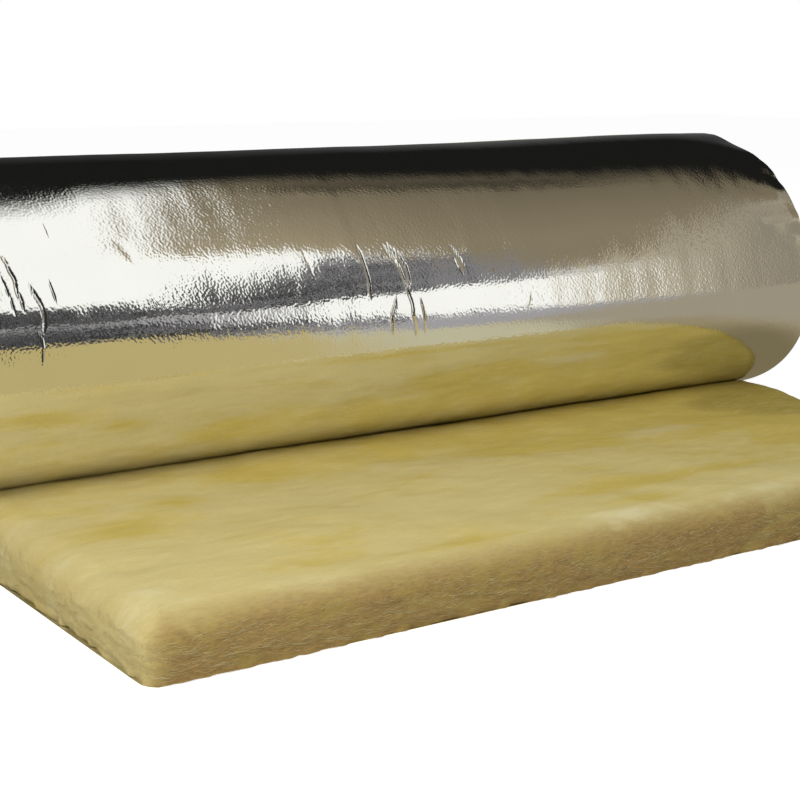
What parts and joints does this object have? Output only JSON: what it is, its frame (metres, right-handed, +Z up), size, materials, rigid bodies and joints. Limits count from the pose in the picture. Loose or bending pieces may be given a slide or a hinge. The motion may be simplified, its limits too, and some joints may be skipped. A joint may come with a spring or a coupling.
{
  "type": "insulation roll",
  "caption": "Foil-faced glass wool blanket wound into a roll lying on the floor, with its free end laid out flat in front as a tongue, wool side up.",
  "frame": {"origin": "on the floor, under the middle of the whole outline", "axes": "+X along the roll's axis, -Y the way the tongue runs out, +Z up"},
  "size_m": [1.2, 0.7649, 0.43],
  "materials": {
    "wool": "loose matte yellow glass fibre",
    "foil": "bright finely crinkled aluminium foil laminate"
  },
  "bodies": {
    "root": {"wool_blanket": "wool", "foil_facing": "foil"}
  },
  "joints": []
}
